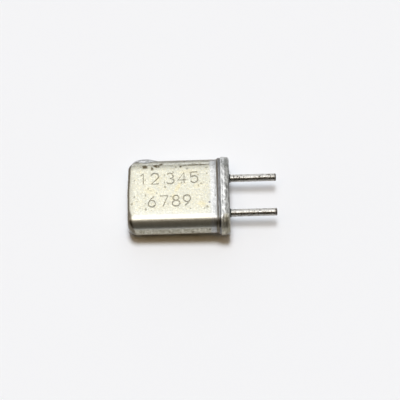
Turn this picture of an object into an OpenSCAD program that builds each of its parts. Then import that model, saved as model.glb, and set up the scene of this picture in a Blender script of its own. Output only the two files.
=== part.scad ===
// Solder-sealed plug-in crystal unit. A drawn oval can is closed by a pressed base with two
// glass-sealed pins, and a quartz blank stands inside in two springs. Sizes are in millimetres.
// The unit is modelled upright, its closed end at zero and its pins up, then laid on a broad face.

/* [Cover] */
// Width of the cover across its round sides
can_w = 10.2; // [9.9:0.1:10.8]
// Thickness of the cover across its flat faces
can_t = 3.8; // [3.6:0.1:4.2]
// Length of the cover from its closed end to its mouth
cover_len = 13.35; // [13.15:0.05:14.5]
// Sheet thickness of the cover
cover_wall = 0.25; // [0.2:0.05:0.3]
// Outer edge radius of the closed end
end_r = 0.55; // [0.4:0.05:0.9]
// Radius of the closed end's corners, seen from a broad side
corner_r = 1.6; // [1.2:0.1:1.8]
// Step outwards from the cover to its skirt
flare_out = 0.2; // [0.15:0.05:0.3]
// Length of the S-shaped step
flare_len = 0.55; // [0.45:0.05:0.7]
// Length of the skirt from the step to the mouth
skirt_len = 1.1; // [0.9:0.05:1.3]

/* [Solder] */
// Height of the solder bead above the skirt
bead_out = 0.15; // [0.1:0.05:0.2]
// Height of the solder bead past the mouth
bead_over = 0.22; // [0.15:0.01:0.3]
// Edge radius of the solder bead
bead_r = 0.35; // [0.25:0.05:0.45]
// Solder gap between the skirt and the base
solder_gap = 0.05; // [0.03:0.01:0.08]

/* [Vent] */
// Diameter of the vent hole in the round side
vent_d = 0.8; // [0.5:0.1:1.2]
// Distance of the vent from the closed end
vent_z = 2.55; // [2.4:0.05:5]
// Length of the drop of solder over the vent
drop_len = 3.6; // [2.4:0.1:4]
// Height of the drop of solder over the cover
drop_h = 0.33; // [0.2:0.01:0.34]
// Half of the angle that the drop covers around the side, in degrees
drop_angle = 55; // [40:1:65]

/* [Base] */
// Sheet thickness of the base
base_t = 0.3; // [0.2:0.05:0.4]
// Length of the base's turned-in rim
rim_len = 1; // [0.8:0.05:1.2]
// Outer bend radius between the base's face and its rim
bend_r = 0.45; // [0.45:0.05:0.5]
// Diameter of each glass seal
glass_d = 1.7; // [1.6:0.05:2]
// Wall of the collar around each glass seal
collar_t = 0.2; // [0.15:0.05:0.25]
// Length of the collar, with the base's face
collar_len = 1.1; // [0.8:0.05:1.3]
// Diameter at the top of the glass neck that climbs the pin's root
neck_d = 1.16; // [1.12:0.02:1.3]
// Widening of the neck down to its fillet
neck_flare = 0.1; // [0.04:0.02:0.2]
// Height of the glass neck above the base
neck_h = 0.4; // [0.35:0.05:0.5]

/* [Pins] */
// Diameter of each pin
pin_d = 1.02; // [0.9:0.01:1.06]
// Distance between the pins
pin_pitch = 4.88; // [4.7:0.01:5]
// Length of each pin outside the base
pin_out = 6.5; // [5:0.05:8]
// Rounding of the pin's tip
tip_r = 0.16; // [0.05:0.01:0.25]
// Depth to which the pin's thick end is sunk into its glass neck
root_sink = 0.1; // [0.05:0.01:0.15]
// Diameter of the thinner wire that runs through the glass
wire_d = 0.7; // [0.5:0.05:0.7]
// Length of the wire inside, past its seal
stub_len = 1.8; // [1.5:0.05:2]
// Depth of the flat pressed on each wire's end
flat_depth = 0.1; // [0.05:0.01:0.15]

/* [Springs] */
// Width of the spring ribbon
ribbon_w = 1.3; // [1:0.05:1.6]
// Thickness of the spring ribbon
ribbon_t = 0.12; // [0.08:0.01:0.16]
// Length of the foot that is welded to the stub
foot_len = 1.3; // [1:0.05:1.4]
// Length along the case in which the ribbon steps out to the blank
step_len = 0.7; // [0.5:0.05:1]
// Ribbon left past the slot
arm_end = 0.5; // [0.3:0.05:0.8]
// Clearance around the blank in the slot
slot_gap = 0.06; // [0.04:0.01:0.1]

/* [Crystal] */
// Diameter of the quartz blank
blank_d = 7.8; // [7.4:0.1:8.2]
// Thickness of the quartz blank
blank_t = 0.2; // [0.1:0.01:0.3]
// Distance from the base's outer face to the blank's centre
blank_drop = 6.95; // [6.85:0.05:7.8]
// Depth by which the blank's edge reaches into its springs
grip = 0.2; // [0.15:0.01:0.3]
// Diameter of each electrode
electrode_d = 4.5; // [3:0.1:5.5]
// Thickness of each electrode
electrode_t = 0.02; // [0.01:0.005:0.03]
// Width of each electrode's tab
tab_w = 1; // [0.6:0.05:1.4]
// Diameter of each dot of cement
cement_d = 1.2; // [0.9:0.05:1.5]

/* [Hidden] */
$fn = 144;
// Cutting tools reach this far past what they cut.
past = 1;
// The corners' arcs reach this far past the faces that they round, to meet them at an angle.
corner_lap = 0.04;

// The oval: two half circles whose centres lie half_gap from the axis.
can_r = can_t / 2;
half_gap = can_w / 2 - can_r;

// The S-shaped step is two equal arcs that meet at step_angle.
skirt_r = can_r + flare_out;
step_r = (pow(flare_out, 2) + pow(flare_len, 2)) / (4 * flare_out);
step_angle = 2 * atan(flare_out / flare_len);
skirt_z = cover_len - skirt_len;
step_z = skirt_z - flare_len;

bead_outer_r = skirt_r + bead_out;
bead_top = cover_len + bead_over;

// The drop turns about an axis that lies drop_shift outside the round side's own.
drop_top_r = can_r + drop_h;
drop_shift = (pow(drop_top_r, 2) - pow(can_r, 2)) / (2 * (drop_top_r - can_r * cos(drop_angle)));
drop_r = drop_top_r - drop_shift;
drop_arc_r = (pow(drop_len / 2, 2) + pow(drop_h, 2)) / (2 * drop_h);

// The base's outer face is flush with the cover's mouth.
base_z = cover_len;
base_r = skirt_r - cover_wall - solder_gap;
glass_r = glass_d / 2;
neck_r = neck_d / 2;
seal_z = base_z - collar_len;

pin_r = pin_d / 2;
pin_y = pin_pitch / 2;
pin_top = base_z + pin_out;
root_z = base_z + neck_h - root_sink;
wire_r = wire_d / 2;
stub_z = seal_z - stub_len;
flat_y = wire_r - flat_depth;

blank_r = blank_d / 2;
blank_z = base_z - blank_drop;
arm_y = blank_r - grip;
slot_half = sqrt(pow(blank_r, 2) - pow(arm_y, 2)) + slot_gap;
tape_y = arm_y + ribbon_t / 2;
foot_y = pin_y + flat_y + ribbon_t / 2;

// Lying down, the unit rests on its closed end's lower edge and on the solder bead, so that
// its pins point up by tilt. Both are round: edge is one centre less the other.
edge_z = skirt_z + bead_r - end_r;
edge_drop = (bead_outer_r - bead_r) - (can_r - end_r);
tilt = atan2(edge_drop, edge_z) + asin((bead_r - end_r) / norm([edge_z, edge_drop]));
lift = (can_r - end_r) * cos(tilt) - end_r * sin(tilt) + end_r;
x_low = end_r * cos(tilt) - (can_r - end_r) * sin(tilt) - end_r;
x_high = (pin_top - tip_r) * cos(tilt) + (pin_r - tip_r) * sin(tilt) + tip_r;

FRONT = -1;
REAR = 1;
TOP = -1;
BOTTOM = 1;

// Lays the upright unit on its broad face, with its closed end left and its pins right.
// The origin is under the middle of the whole unit.
module lay() {
    translate([-(x_low + x_high) / 2, 0, lift]) rotate([0, 90 - tilt, 0]) children();
}

// Sweeps a section of radius and height around the oval.
module oval_sweep() {
    for (turn = [0, 180]) rotate([0, 0, turn]) {
        translate([0, half_gap, 0]) rotate_extrude(angle = 180) children();
        rotate([90, 0, 0]) linear_extrude(height = 2 * half_gap, center = true) children();
    }
}

// A rectangle between two corners.
module box2(low, high) {
    translate(low) square(high - low);
}

// Half of the cover's section, filled, and inset from its outer face. Its pieces overlap.
module cover_section(inset, top) {
    join_z = step_z + (step_r + inset) * sin(step_angle);
    box2([0, inset], [can_r - end_r, top]);
    intersection() {
        translate([can_r - end_r, end_r]) circle(end_r - inset);
        box2([0, 0], [can_r, 2 * end_r]);
    }
    box2([0, end_r], [can_r - inset, top]);
    difference() {
        box2([0, step_z], [skirt_r - inset, top]);
        translate([can_r + step_r, step_z]) circle(step_r + inset);
        difference() {
            box2([skirt_r - step_r, join_z], [skirt_r, skirt_z]);
            translate([skirt_r - step_r, skirt_z]) circle(step_r - inset);
        }
    }
}

module bead_section() {
    bead_mid = bead_outer_r - bead_r;
    difference() {
        union() {
            for (z = [skirt_z + bead_r, bead_top - bead_r]) translate([bead_mid, z]) circle(bead_r);
            box2([bead_mid - bead_r, skirt_z + bead_r], [bead_outer_r, bead_top - bead_r]);
        }
        box2([0, 0], [skirt_r, cover_len]);
    }
    box2([base_r, base_z - rim_len], [skirt_r - cover_wall, cover_len + bead_over / 2]);
}

// Half of the base's section, filled down to bottom, and inset from its outer face.
module base_section(inset, bottom) {
    bend_mid = [base_r - bend_r, base_z - bend_r];
    translate(bend_mid) circle(bend_r - inset);
    box2([0, bottom], [bend_mid.x, base_z - inset]);
    box2([0, bottom], [base_r - inset, bend_mid.y]);
}

// Moves its children onto a pin's axis.
module at_pin(side) {
    translate([0, side * pin_y, 0]) children();
}

module vent_plug(depth) {
    translate([0, half_gap + can_r - cover_wall, vent_z])
        rotate([-90, 0, 0]) cylinder(d = vent_d, h = depth);
}

// The cover's form, filled up to top, and inset from its outer face.
module cover_form(inset, top) {
    corner_mid = [can_w / 2 - corner_r + corner_lap, corner_r - corner_lap];
    difference() {
        oval_sweep() cover_section(inset, top);
        for (turn = [0, 180]) rotate([0, 0, turn]) rotate([90, 0, 90])
            linear_extrude(height = can_t + past, center = true) difference() {
                box2([corner_mid.x, -past], [can_w / 2 + past, corner_mid.y]);
                translate(corner_mid) circle(corner_r - inset);
            }
    }
}

module cover() {
    color([0.80, 0.79, 0.72]) lay() difference() {
        cover_form(0, cover_len);
        cover_form(cover_wall, cover_len + past);
        vent_plug(cover_wall + past);
    }
}

// A drop of solder, rounded both ways, over a plug that fills the vent hole.
module vent_solder() {
    color([0.75, 0.77, 0.80]) lay() {
        difference() {
            translate([0, half_gap + drop_shift, 0]) rotate_extrude() intersection() {
                translate([drop_r - drop_arc_r, vent_z]) circle(drop_arc_r);
                box2([0, vent_z - drop_len / 2], [drop_r, vent_z + drop_len / 2]);
            }
            cover_form(0, cover_len);
        }
        vent_plug(cover_wall + drop_h / 2);
    }
}

// A bead around the mouth, which also fills the gap between the skirt and the base.
module seam_solder() {
    color([0.72, 0.74, 0.76]) lay() oval_sweep() bead_section();
}

// A shallow oval dish with a collar around each glass seal.
module base_shell() {
    color([0.62, 0.62, 0.60]) lay() difference() {
        union() {
            oval_sweep() difference() {
                base_section(0, base_z - rim_len);
                base_section(base_t, base_z - rim_len - past);
            }
            for (side = [FRONT, REAR]) at_pin(side)
                translate([0, 0, seal_z]) cylinder(r = glass_r + collar_t, h = collar_len - base_t / 2);
        }
        for (side = [FRONT, REAR]) at_pin(side)
            translate([0, 0, seal_z - past]) cylinder(r = glass_r, h = collar_len + 2 * past);
    }
}

// A bead of glass around the wire, with a concave fillet up to a tapered neck.
module glass_seal(side) {
    foot_r = neck_r + neck_flare / 2;
    fillet_r = glass_r - foot_r;
    color([0.10, 0.11, 0.10]) lay() at_pin(side) rotate_extrude() difference() {
        union() {
            polygon([
                [wire_r, seal_z], [foot_r, seal_z], [foot_r, base_z + fillet_r],
                [neck_r, base_z + neck_h], [wire_r, base_z + neck_h],
            ]);
            difference() {
                box2([wire_r, seal_z], [glass_r, base_z + fillet_r]);
                translate([glass_r, base_z + fillet_r]) circle(fillet_r);
            }
        }
        box2([0, root_z], [pin_r, pin_top]);
    }
}

// A round pin that steps down to a thinner wire, whose end has a flat for the spring's foot.
module pin(side) {
    color([0.55, 0.54, 0.50]) lay() difference() {
        at_pin(side) rotate_extrude() {
            box2([0, stub_z], [wire_r, pin_top - tip_r]);
            box2([0, root_z], [pin_r, pin_top - tip_r]);
            box2([0, root_z], [pin_r - tip_r, pin_top]);
            translate([pin_r - tip_r, pin_top - tip_r]) circle(tip_r);
        }
        translate([0, side * (pin_y + flat_y + past / 2), stub_z + (foot_len - past) / 2])
            cube([2 * past, past, foot_len + past], center = true);
    }
}

// One straight run of ribbon, seen edge on, with round ends.
module ribbon_run(from, to) {
    along = to - from;
    translate(from) rotate(atan2(along.y, along.x)) translate([0, -ribbon_t / 2])
        square([norm(along), ribbon_t]);
    for (end = [from, to]) translate(end) circle(d = ribbon_t);
}

// The spring's edge view, from its foot on the stub to its free end beside the blank.
module spring_edge() {
    route = [
        [foot_y, stub_z + foot_len - ribbon_t / 2],
        [foot_y, stub_z],
        [tape_y, stub_z - step_len],
        [tape_y, blank_z - slot_half - arm_end],
    ];
    for (i = [1:len(route) - 1]) ribbon_run(route[i - 1], route[i]);
}

// The slot that takes the blank's edge.
module spring_slot(side) {
    translate([0, side * tape_y, blank_z])
        cube([blank_t + 2 * slot_gap, past, 2 * slot_half], center = true);
}

module spring(side) {
    color([0.70, 0.69, 0.64]) lay() difference() {
        mirror([0, side == FRONT ? 1 : 0, 0]) rotate([90, 0, 90])
            linear_extrude(height = ribbon_w, center = true) spring_edge();
        spring_slot(side);
    }
}

module blank_body() {
    translate([-blank_t / 2, 0, blank_z]) rotate([0, 90, 0]) cylinder(d = blank_d, h = blank_t);
}

// The middle of the film on one face of the blank.
function film_x(face) = face * (blank_t + electrode_t) / 2;

// A film on one face of the blank, with a tab that runs to one spring.
module electrode(face, side) {
    color([0.86, 0.86, 0.84]) lay()
        translate([film_x(face), 0, blank_z]) rotate([90, 0, 90])
            linear_extrude(height = electrode_t, center = true) {
                circle(d = electrode_d);
                intersection() {
                    circle(d = blank_d);
                    translate([side * blank_r / 2, 0]) square([blank_r, tab_w], center = true);
                }
            }
}

// A dot of cement around one spring's slot, which also covers the end of one film's tab.
module cement(side) {
    face = side == REAR ? TOP : BOTTOM;
    color([0.60, 0.60, 0.58]) lay() difference() {
        translate([0, side * tape_y, blank_z]) rotate(side * 90) sphere(d = cement_d);
        difference() {
            translate([0, side * tape_y, blank_z])
                cube([ribbon_w, ribbon_t, 2 * slot_half], center = true);
            spring_slot(side);
        }
        blank_body();
        translate([film_x(face), side * blank_r / 2, blank_z])
            cube([electrode_t, blank_r, tab_w], center = true);
    }
}

module quartz_blank() {
    color([0.85, 0.90, 0.93]) lay() blank_body();
}

cover();
vent_solder();
seam_solder();
base_shell();
glass_seal(FRONT);  // glass_seal_front
glass_seal(REAR);  // glass_seal_rear
pin(FRONT);  // pin_front
pin(REAR);  // pin_rear
spring(FRONT);  // spring_front
spring(REAR);  // spring_rear
cement(FRONT);  // cement_front
cement(REAR);  // cement_rear
quartz_blank();
electrode(TOP, REAR);  // electrode_top
electrode(BOTTOM, FRONT);  // electrode_bottom
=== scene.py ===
"""Dresses a solder-sealed plug-in crystal unit: its oval can, its solder and its two pins."""
import math

import bpy
from mathutils import Matrix, Vector


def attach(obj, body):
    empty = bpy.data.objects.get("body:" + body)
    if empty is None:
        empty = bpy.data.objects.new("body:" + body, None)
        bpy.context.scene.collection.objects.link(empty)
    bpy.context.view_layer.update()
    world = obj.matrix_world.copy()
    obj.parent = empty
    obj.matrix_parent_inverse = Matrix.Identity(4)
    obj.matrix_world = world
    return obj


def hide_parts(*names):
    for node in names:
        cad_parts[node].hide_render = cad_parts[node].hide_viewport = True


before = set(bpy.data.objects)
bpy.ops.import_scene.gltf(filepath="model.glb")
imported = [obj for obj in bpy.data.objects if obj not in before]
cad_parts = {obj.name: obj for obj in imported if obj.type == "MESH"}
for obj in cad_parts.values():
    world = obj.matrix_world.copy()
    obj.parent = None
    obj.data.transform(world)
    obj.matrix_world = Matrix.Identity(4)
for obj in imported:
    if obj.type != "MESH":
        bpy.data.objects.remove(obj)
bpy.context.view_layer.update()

MM = 0.001

# ---------------------------------------------------------------- sizes, in millimetres
# The unit is modelled upright, its closed end at zero and its pins up, then laid down.
# The can is an oval: two half circles of CAN_R whose middles lie HALF_GAP from its axis.
CAN_R = 1.9
HALF_GAP = 3.2
COVER_LEN = 13.35
COVER_WALL = 0.25
# The closed end has a rounded edge, which is wider round its two corners. From a line at
# LEAN_START the end leans back towards the far corner, and nearer it keeps a small share.
END_R = 0.55
FAR_CORNER_R = 1.78
NEAR_CORNER_R = 1.2
END_LEAN = 0.17
LEAN_START = -1.0
NEAR_SHARE = 0.15
# At the mouth the can steps out to its skirt, in an S of two equal arcs.
FLARE_OUT = 0.2
FLARE_LEN = 0.55
SKIRT_LEN = 1.1
SKIRT_R = CAN_R + FLARE_OUT
SKIRT_Z = COVER_LEN - SKIRT_LEN
STEP_Z = SKIRT_Z - FLARE_LEN
STEP_R = (FLARE_OUT**2 + FLARE_LEN**2) / (4 * FLARE_OUT)
STEP_ANGLE = math.degrees(2 * math.atan(FLARE_OUT / FLARE_LEN))

# The solder bead round the mouth, and the gap that it fills between the skirt and the base.
BEAD_OUT = 0.15
BEAD_R = 0.35
BEAD_MID = SKIRT_R + BEAD_OUT - BEAD_R
SOLDER_GAP = 0.05

# The vent in the far round side, and the drop of solder over it. The drop is round about
# an axis that lies DROP_SHIFT outside the side's own.
VENT_R = 0.4
VENT_Z = 2.55
DROP_H = 0.33
DROP_ANGLE = 55
DROP_TOP_R = CAN_R + DROP_H
DROP_SHIFT = (DROP_TOP_R**2 - CAN_R**2) / (
    2 * (DROP_TOP_R - CAN_R * math.cos(math.radians(DROP_ANGLE)))
)
DROP_R = DROP_TOP_R - DROP_SHIFT

# The base with its collars, and the glass seals with their necks.
BASE_T = 0.3
BASE_R = SKIRT_R - COVER_WALL - SOLDER_GAP
RIM_LEN = 1.0
RIM_Z = COVER_LEN - RIM_LEN
BEND_R = 0.45
GLASS_R = 0.85
COLLAR_WALL = 0.2
COLLAR_LEN = 1.1
COLLAR_R = GLASS_R + COLLAR_WALL
SEAL_Z = COVER_LEN - COLLAR_LEN
NECK_R = 0.58
NECK_FLARE = 0.05
NECK_FOOT_R = NECK_R + NECK_FLARE
NECK_H = 0.4
LIP_IN = 0.015
LIP_H = 0.08

# The pins, each stepped down inside its glass to a wire with a flat on its end.
PIN_Y = 2.44
PIN_R = 0.51
PIN_OUT = 6.5
PIN_TOP = COVER_LEN + PIN_OUT
TIP_R = 0.16
ROOT_SINK = 0.1
ROOT_Z = COVER_LEN + NECK_H - ROOT_SINK
WIRE_R = 0.35
STUB_LEN = 1.8
STUB_Z = SEAL_Z - STUB_LEN
FLAT_DEPTH = 0.1
FLAT_LEN = 1.3

# Cutting tools reach this far past what they cut, and points this close are merged.
PAST = 1.0
WELD_GAP = 0.002

# Lying down, the unit rests on its closed end's lower edge and on its solder bead: EDGE runs
# from the middle of the one's rounding to the middle of the other's. Along x the unit is
# centred between its closed end's edge and its pins' tips.
EDGE = Vector((SKIRT_Z + BEAD_R - END_R, BEAD_MID - (CAN_R - END_R)))
TILT = math.atan2(EDGE.y, EDGE.x) + math.asin((BEAD_R - END_R) / EDGE.length)
LIFT = (CAN_R - END_R) * math.cos(TILT) - END_R * math.sin(TILT) + END_R
X_LOW = END_R * math.cos(TILT) - (CAN_R - END_R) * math.sin(TILT) - END_R
X_HIGH = (PIN_TOP - TIP_R) * math.cos(TILT) + (PIN_R - TIP_R) * math.sin(TILT) + TIP_R
LAY = Matrix.Translation(Vector((-(X_LOW + X_HIGH) / 2, 0, LIFT)) * MM) @ Matrix.Rotation(
    math.pi / 2 - TILT, 4, "Y"
)


# ---------------------------------------------------------------- modelling by hand
def deselect():
    """Leaves edit mode and selects nothing."""
    if bpy.context.object and bpy.context.object.mode != "OBJECT":
        bpy.ops.object.mode_set(mode="OBJECT")
    bpy.ops.object.select_all(action="DESELECT")


def pick(piece):
    """Selects one piece alone."""
    deselect()
    bpy.context.view_layer.objects.active = piece
    piece.select_set(True)


def added(name):
    """Names the primitive that was just added."""
    piece = bpy.context.object
    piece.name = piece.data.name = name
    return piece


def settle():
    """Takes the selected piece's place, turn and scale into its mesh."""
    bpy.ops.object.transform_apply(location=True, rotation=True, scale=True)


def edit():
    """Goes into edit mode."""
    bpy.ops.object.mode_set(mode="EDIT")


def leave():
    """Goes back to object mode."""
    bpy.ops.object.mode_set(mode="OBJECT")


def close_line(piece):
    """In edit mode, joins a line's last point to its first."""
    bpy.ops.mesh.select_all(action="DESELECT")
    leave()
    vertices = piece.data.vertices
    vertices[0].select = vertices[len(vertices) - 1].select = True
    edit()
    bpy.ops.mesh.edge_face_add()


def draw_line(name, points, closed=False):
    """Draws a line through points in millimetres, one extrusion at a time. The line is left
    in edit mode."""
    deselect()
    bpy.ops.mesh.primitive_plane_add(size=MM, location=Vector(points[0]) * MM)
    piece = added(name)
    settle()
    edit()
    bpy.ops.mesh.select_mode(type="VERT")
    bpy.ops.mesh.select_all(action="SELECT")
    bpy.ops.mesh.merge(type="CENTER")
    for a, b in zip(points, points[1:]):
        step = (Vector(b) - Vector(a)) * MM
        bpy.ops.mesh.extrude_region_move(TRANSFORM_OT_translate={"value": step})
    if closed:
        close_line(piece)
    return piece


def weld():
    """In edit mode, merges the points that meet and turns the faces outwards."""
    bpy.ops.mesh.select_all(action="SELECT")
    bpy.ops.mesh.remove_doubles(threshold=WELD_GAP * MM)
    bpy.ops.mesh.normals_make_consistent(inside=False)


def spun(name, section, middle_y, closed=False, steps=64):
    """Spins a section of (radius, height) once round an upright axis."""
    piece = draw_line(name, [(r, middle_y, z) for r, z in section], closed)
    bpy.ops.mesh.select_all(action="SELECT")
    bpy.ops.mesh.spin(
        steps=steps, angle=2 * math.pi, center=(0, middle_y * MM, 0), axis=(0, 0, 1)
    )
    weld()
    leave()
    return piece


def swept_oval(name, section, closed=False, round_steps=48, flat_steps=24):
    """Spins a section of (radius, height) round one side of the oval, draws it straight
    across, and does the same again back to its start."""
    piece = draw_line(name, [(r, HALF_GAP, z) for r, z in section], closed)
    bpy.ops.mesh.select_all(action="SELECT")
    for side in (1, -1):
        bpy.ops.mesh.spin(
            steps=round_steps,
            angle=math.pi,
            center=(0, side * HALF_GAP * MM, 0),
            axis=(0, 0, -1),
        )
        for _ in range(flat_steps):
            step = (0, -side * 2 * HALF_GAP * MM / flat_steps, 0)
            bpy.ops.mesh.extrude_region_move(TRANSFORM_OT_translate={"value": step})
    weld()
    leave()
    return piece


def bow(middle_x, middle_y, width, height, start, end, steps=14):
    """Points on part of an ellipse, from one angle to another, in degrees."""
    angles = [math.radians(start + (end - start) * i / steps) for i in range(steps + 1)]
    return [
        (middle_x + width * math.cos(a), middle_y + height * math.sin(a)) for a in angles
    ]


def arc(middle, radius, start, end, steps):
    """Points on part of a circle, from one angle to another, in degrees."""
    return bow(*middle, radius, radius, start, end, steps)


def run(start, end, steps):
    """Points spaced evenly along a straight line, without its ends."""
    a, b = Vector(start), Vector(end)
    return [tuple(a.lerp(b, i / steps)) for i in range(1, steps)]


def spline(p, q, r, s, t):
    """A point between q and r, at t from 0 to 1, on a smooth line that p and s bend."""
    bend = (2 * p - 5 * q + 4 * r - s) * t * t
    swing = (3 * q - p - 3 * r + s) * t**3
    return 0.5 * (2 * q + (r - p) * t + bend + swing)


def curved(points, steps=4):
    """A smooth line through points, with the given number of steps between each two."""
    ends = [points[0]] + points + [points[-1]]
    line = []
    for four in zip(ends, ends[1:], ends[2:], ends[3:]):
        for i in range(steps):
            line.append(tuple(spline(*values, i / steps) for values in zip(*four)))
    return line + [points[-1]]


def rod(name, radius, length, middle, turn=(0, 0, 0), steps=64):
    """A round rod with its middle at a place, upright unless it is turned."""
    deselect()
    bpy.ops.mesh.primitive_cylinder_add(
        vertices=steps,
        radius=radius * MM,
        depth=length * MM,
        location=Vector(middle) * MM,
        rotation=turn,
    )
    piece = added(name)
    settle()
    return piece


def post(name, radius, low, high, y):
    """An upright rod from one height to another."""
    return rod(name, radius, high - low, (0, y, (low + high) / 2))


def vent_post(name, low, high):
    """A rod across the can, on the vent's own axis, between two heights over its far side."""
    middle = (0, HALF_GAP + CAN_R + (low + high) / 2, VENT_Z)
    return rod(name, VENT_R, high - low, middle, (math.pi / 2, 0, 0), 48)


def modify(piece, kind, **values):
    """Adds one modifier and applies it."""
    pick(piece)
    modifier = piece.modifiers.new(kind.title(), kind)
    for key, value in values.items():
        setattr(modifier, key, value)
    bpy.ops.object.modifier_apply(modifier=modifier.name)


def join_or_cut(piece, tool, operation):
    """Joins a solid to a piece or cuts it out, and throws the solid away."""
    modify(piece, "BOOLEAN", operation=operation, object=tool, solver="EXACT", use_self=False)
    bpy.data.objects.remove(tool)


def roughen(piece, size, depth, mid=0.0, group="", detail=2, kind="CLOUDS"):
    """Moves the surface along its normals by a noise; size and depth are in millimetres."""
    texture = bpy.data.textures.new("lumps", kind)
    texture.noise_scale = size * MM
    if kind == "CLOUDS":
        texture.noise_depth = detail
    modify(
        piece,
        "DISPLACE",
        texture=texture,
        texture_coords="LOCAL",
        strength=depth * MM,
        mid_level=mid,
        vertex_group=group,
    )
    bpy.data.textures.remove(texture)


def ramp(value, start, length):
    """Goes evenly from 0 to 1 over a length from its start."""
    return min(1, max(0, (value - start) / length))


def weigh(piece, name, weight):
    """Gives each vertex its weight in a new vertex group, by its place in millimetres."""
    group = piece.vertex_groups.new(name=name)
    for vertex in piece.data.vertices:
        group.add([vertex.index], weight(vertex.co / MM), "REPLACE")


def finish_piece(piece, material, node, angle=35):
    """Smooths a piece, lays it down and hands it to the frame."""
    pick(piece)
    bpy.ops.object.shade_smooth_by_angle(angle=math.radians(angle))
    piece.matrix_world = LAY @ piece.matrix_world
    settle()
    piece.data.materials.clear()
    piece.data.materials.append(material)
    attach(piece, "root")
    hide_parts(node)


# ---------------------------------------------------------------- the can and its marks
def cover_line():
    """The can's outer section, from the middle of its closed end to its mouth."""
    line = [(0, 0), (0.35, 0), (0.7, 0)]
    line += arc((CAN_R - END_R, END_R), END_R, -90, 0, 14)
    line += run((CAN_R, END_R), (CAN_R, STEP_Z), 40)
    line += arc((CAN_R + STEP_R, STEP_Z), STEP_R, 180, 180 - STEP_ANGLE, 7)
    line += arc((SKIRT_R - STEP_R, SKIRT_Z), STEP_R, -STEP_ANGLE, 0, 7)[1:]
    line += run((SKIRT_R, SKIRT_Z), (SKIRT_R, COVER_LEN), 5)
    return line + [(SKIRT_R, COVER_LEN)]


def rounded(x, y, z):
    """Moves a point as the closed end's edge radius widens to its corner's own."""
    across = abs(y) - HALF_GAP
    r = math.hypot(x, across)
    if across <= 0 or not r:
        return x, y, z
    corner = FAR_CORNER_R if y > 0 else NEAR_CORNER_R
    edge = END_R + (corner - END_R) * (across / r) ** 2
    middle = CAN_R - END_R
    new_r = r
    if z >= END_R:
        z = edge + (z - END_R) * (STEP_Z - edge) / (STEP_Z - END_R)
    elif r > middle:
        turn = math.atan2(z - END_R, r - middle)
        new_r = CAN_R - edge + edge * math.cos(turn)
        z = edge + edge * math.sin(turn)
    else:
        new_r = r * (CAN_R - edge) / middle
    return x * (new_r / r), math.copysign(HALF_GAP + across * new_r / r, y), z


def soften_corners(can):
    """Rounds the closed end's two corners, then leans the end back."""
    for vertex in can.data.vertices:
        x, y, z = vertex.co / MM
        if z < STEP_Z:
            x, y, z = rounded(x, y, z)
            share = ramp(y, LEAN_START, HALF_GAP - LEAN_START) ** 1.5
            lean = END_LEAN * max(NEAR_SHARE, share)
            vertex.co = Vector((x, y, z + lean * (1 - z / STEP_Z))) * MM


# Each figure's strokes, on a cell 1.1 wide and 1.5 high with its middle at the origin.
FIGURES = {
    "1": [[(-0.3, 0.42), (0.05, 0.75), (0.05, -0.75)]],
    "2": [bow(0, 0.3, 0.5, 0.45, 170, -35) + [(-0.52, -0.75), (0.52, -0.75)]],
    "3": [bow(-0.03, 0.36, 0.43, 0.39, 150, -90) + bow(-0.03, -0.37, 0.52, 0.38, 80, -155)],
    "4": [[(0.28, -0.75), (0.28, 0.75), (-0.54, -0.28), (0.56, -0.28)]],
    "5": [[(0.46, 0.75), (-0.38, 0.75), (-0.45, 0.1)] + bow(0, -0.25, 0.5, 0.48, 135, -155)],
    "6": [[(0.32, 0.75), (-0.1, 0.4)] + bow(0.0, -0.27, 0.48, 0.46, 160, 520, 24)],
    "7": [[(-0.5, 0.75), (0.52, 0.75), (-0.15, -0.75)]],
    "8": [
        bow(0, 0.4, 0.4, 0.35, 90, 450, 20)[:-1],
        bow(0, -0.35, 0.5, 0.4, 90, 450, 24)[:-1],
    ],
    "9": [[(-0.32, -0.75), (0.1, -0.4)] + bow(0.0, 0.27, 0.48, 0.46, -20, 340, 24)],
}
# The figures and their places: along the can from its closed end, and across it.
MARKS = [
    ("1", 2.15, 2.0),
    ("2", 3.74, 2.02),
    ("3", 5.77, 1.99),
    ("4", 7.33, 2.02),
    ("5", 8.93, 2.05),
    ("6", 3.3, -1.22),
    ("7", 4.9, -1.18),
    ("8", 6.5, -1.15),
    ("9", 7.95, -1.12),
]
MARK_TURN = math.radians(0.8)
GROOVE_R = 0.13
GROOVE_RISE = 0.08
GROOVE_VOXEL = 0.02


def mark_tool():
    """Rods bent to the shapes of the figures, lying just above the can's upper face."""
    rods = []
    for figure, along, across in MARKS:
        for stroke in FIGURES[figure]:
            points = []
            for right, up in stroke:
                z = along + right * math.cos(MARK_TURN) - up * math.sin(MARK_TURN)
                y = across + right * math.sin(MARK_TURN) + up * math.cos(MARK_TURN)
                points.append((-CAN_R - GROOVE_RISE, y, z))
            bent = draw_line("mark_rod", points, closed=figure == "8")
            pick(bent)
            bpy.ops.object.convert(target="CURVE")
            bent.data.bevel_depth = GROOVE_R * MM
            bent.data.bevel_resolution = 3
            bent.data.use_fill_caps = True
            bpy.ops.object.convert(target="MESH")
            rods.append(bpy.context.object)
    for bent in rods:
        bent.select_set(True)
    bpy.ops.object.join()
    tool = added("mark_tool")
    modify(tool, "REMESH", mode="VOXEL", voxel_size=GROOVE_VOXEL * MM)
    modify(tool, "SMOOTH", factor=0.5, iterations=4)
    return tool


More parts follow.
